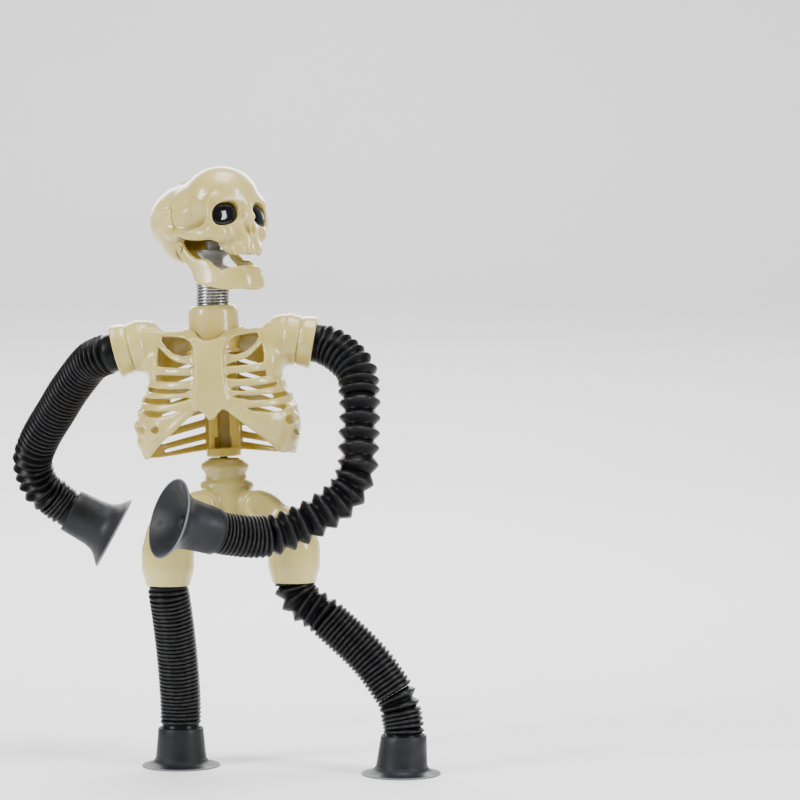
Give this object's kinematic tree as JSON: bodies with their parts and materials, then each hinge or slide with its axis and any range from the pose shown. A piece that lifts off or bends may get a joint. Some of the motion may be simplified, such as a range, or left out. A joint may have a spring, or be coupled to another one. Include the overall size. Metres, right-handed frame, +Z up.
{
  "type": "posable skeleton figure",
  "caption": "Posable halloween skeleton figure: cream plastic skull, ribcage and pelvis, bending pop-tube arms and legs, and suction-cup hands and feet.",
  "frame": {"origin": "middle of the bounding box's base, on the surface the two foot cups stand on", "axes": "+Z up; the chest faces -Y; the figure's left side is +X"},
  "size_m": [0.2082, 0.1589, 0.2839],
  "materials": {
    "bone_plastic": "cream plastic, glossy, slightly translucent",
    "black_tube_plastic": "black polypropylene, semi-gloss",
    "grey_rubber": "dark grey soft rubber, matt",
    "spring_steel": "bright spring wire",
    "grey_plastic": "mid grey moulded plastic, satin",
    "gloss_black": "gloss black",
    "pale_peg_plastic": "pale pinkish plastic"
  },
  "bodies": {
    "pelvis": {"left_leg_band": "black_tube_plastic", "pelvis_back": "bone_plastic", "pelvis_front": "bone_plastic", "right_leg_band": "black_tube_plastic", "waist_pin": "bone_plastic"},
    "torso": {"ribcage_back": "bone_plastic", "ribcage_front": "bone_plastic"},
    "neck_base": {"neck_collar": "bone_plastic"},
    "neck": {"neck_spring_lower": "spring_steel"},
    "head": {"crown_peg": "pale_peg_plastic", "eye_left": "gloss_black", "eye_right": "gloss_black", "jaw_pin_left": "bone_plastic", "jaw_pin_right": "bone_plastic", "neck_spool": "grey_plastic", "neck_spring_upper": "spring_steel", "skull_back": "bone_plastic", "skull_front": "bone_plastic"},
    "jaw_body": {"jaw": "bone_plastic"},
    "right_shoulder": {"right_arm_band": "black_tube_plastic", "shoulder_cuff_right": "bone_plastic"},
    "right_upper_arm": {"right_shoulder_bellows": "black_tube_plastic"},
    "right_forearm": {"right_upper_arm_bellows": "black_tube_plastic"},
    "right_hand": {"right_elbow_bellows": "black_tube_plastic", "right_hand_cup": "grey_rubber", "right_wrist_tube": "black_tube_plastic"},
    "left_shoulder": {"left_arm_band": "black_tube_plastic", "shoulder_cuff_left": "bone_plastic"},
    "left_upper_arm": {"left_shoulder_bellows": "black_tube_plastic"},
    "left_mid_arm": {"left_upper_arm_bellows": "black_tube_plastic"},
    "left_forearm": {"left_elbow_bellows": "black_tube_plastic"},
    "left_hand": {"left_forearm_bellows": "black_tube_plastic", "left_hand_cup": "grey_rubber", "left_wrist_tube": "black_tube_plastic"},
    "right_thigh": {"right_hip_bellows": "black_tube_plastic"},
    "right_shin": {"right_leg_bellows": "black_tube_plastic"},
    "right_foot": {"right_ankle_bellows": "black_tube_plastic", "right_ankle_tube": "black_tube_plastic", "right_foot_cup": "grey_rubber"},
    "left_thigh": {"left_hip_bellows": "black_tube_plastic"},
    "left_shin": {"left_leg_bellows": "black_tube_plastic"},
    "left_foot": {"left_ankle_bellows": "black_tube_plastic", "left_ankle_tube": "black_tube_plastic", "left_foot_cup": "grey_rubber"}
  },
  "joints": [
    {"name": "waist_turn", "type": "hinge", "parent": "pelvis", "child": "torso", "pos_m": [0.00155, 0.008, 0.1471], "axis": [0, 0, 1], "range_deg": [-30, 30]},
    {"name": "neck_turn", "type": "hinge", "parent": "torso", "child": "neck_base", "pos_m": [-0.00268, -0.005, 0.21913], "axis": [-0.0454, 0, 0.999], "range_deg": [-60, 60]},
    {"name": "neck_nod", "type": "hinge", "parent": "neck_base", "child": "neck", "pos_m": [-0.0026, -0.005, 0.222], "axis": [0.6691, 0.7431, 0], "range_deg": [-12, 12], "stiffness_Nm_per_rad": 0.25, "deforming": ["neck_spring_lower"]},
    {"name": "neck_sway", "type": "hinge", "parent": "neck", "child": "head", "pos_m": [-0.0026, -0.005, 0.23], "axis": [-0.7431, 0.6691, 0], "range_deg": [-12, 12], "stiffness_Nm_per_rad": 0.25, "deforming": ["neck_spring_upper"]},
    {"name": "jaw_hinge", "type": "hinge", "parent": "head", "child": "jaw_body", "pos_m": [-0.00534, -0.00253, 0.24535], "axis": [0.6691, 0.7431, 0], "range_deg": [-12, 10]},
    {"name": "right_shoulder_swivel", "type": "hinge", "parent": "torso", "child": "right_shoulder", "pos_m": [-0.04834, -0.005, 0.19723], "axis": [-0.9655, 0, -0.2605], "range_deg": [-45, 45]},
    {"name": "right_shoulder_bend", "type": "hinge", "parent": "right_shoulder", "child": "right_upper_arm", "pos_m": [-0.05746, -0.00059, 0.19423], "axis": [0.1792, -0.5984, -0.7809], "range_deg": [-20, 20], "deforming": ["right_shoulder_bellows"]},
    {"name": "right_arm_stretch", "type": "slide", "parent": "right_upper_arm", "child": "right_forearm", "axis": [-0.4801, 0.5937, -0.6458], "range_m": [0, 0.06], "deforming": ["right_upper_arm_bellows"]},
    {"name": "right_elbow_bend", "type": "hinge", "parent": "right_forearm", "child": "right_hand", "pos_m": [-0.09437, 0.04949, 0.13878], "axis": [-0.0378, -0.8022, -0.5959], "range_deg": [-30, 15], "deforming": ["right_elbow_bellows"]},
    {"name": "left_shoulder_swivel", "type": "hinge", "parent": "torso", "child": "left_shoulder", "pos_m": [0.04477, -0.005, 0.20146], "axis": [0.9851, 0, -0.1719], "range_deg": [-75, 5]},
    {"name": "left_shoulder_bend", "type": "hinge", "parent": "left_shoulder", "child": "left_upper_arm", "pos_m": [0.06225, -0.01273, 0.19206], "axis": [-0.0286, 0.9389, -0.343], "range_deg": [-20, 20], "deforming": ["left_shoulder_bellows"]},
    {"name": "left_arm_stretch", "type": "slide", "parent": "left_upper_arm", "child": "left_mid_arm", "axis": [-0.0319, -0.2481, -0.9682], "range_m": [-0.015, 0], "deforming": ["left_upper_arm_bellows"]},
    {"name": "left_elbow_bend", "type": "hinge", "parent": "left_mid_arm", "child": "left_forearm", "pos_m": [0.05679, -0.03152, 0.12881], "axis": [-0.2365, 0.9701, -0.0554], "range_deg": [-30, 20], "deforming": ["left_elbow_bellows"]},
    {"name": "left_forearm_stretch", "type": "slide", "parent": "left_forearm", "child": "left_hand", "axis": [-0.924, -0.3753, -0.0726], "range_m": [0, 0.03], "deforming": ["left_forearm_bellows"]},
    {"name": "right_hip_bend", "type": "hinge", "parent": "pelvis", "child": "right_thigh", "pos_m": [-0.03259, -0.00317, 0.07706], "axis": [0, 1, 0], "range_deg": [0, 20], "deforming": ["right_hip_bellows"]},
    {"name": "right_leg_stretch", "type": "slide", "parent": "right_thigh", "child": "right_shin", "axis": [0.0721, 0.2182, -0.9732], "range_m": [0, 0.05], "deforming": ["right_leg_bellows"]},
    {"name": "right_ankle_bend", "type": "hinge", "parent": "right_shin", "child": "right_foot", "pos_m": [-0.02899, 0.00723, 0.02936], "axis": [0, 1, 0], "range_deg": [0, 15], "deforming": ["right_ankle_bellows"]},
    {"name": "left_hip_bend", "type": "hinge", "parent": "pelvis", "child": "left_thigh", "pos_m": [0.0413, -0.00668, 0.07837], "axis": [0, 1, 0], "range_deg": [-15, 15], "deforming": ["left_hip_bellows"]},
    {"name": "left_leg_stretch", "type": "slide", "parent": "left_thigh", "child": "left_shin", "axis": [0.6712, -0.1375, -0.7284], "range_m": [0, 0.06], "deforming": ["left_leg_bellows"]},
    {"name": "left_ankle_bend", "type": "hinge", "parent": "left_shin", "child": "left_foot", "pos_m": [0.08508, -0.01568, 0.03132], "axis": [0, 1, 0], "range_deg": [-12, 12], "deforming": ["left_ankle_bellows"]}
  ]
}
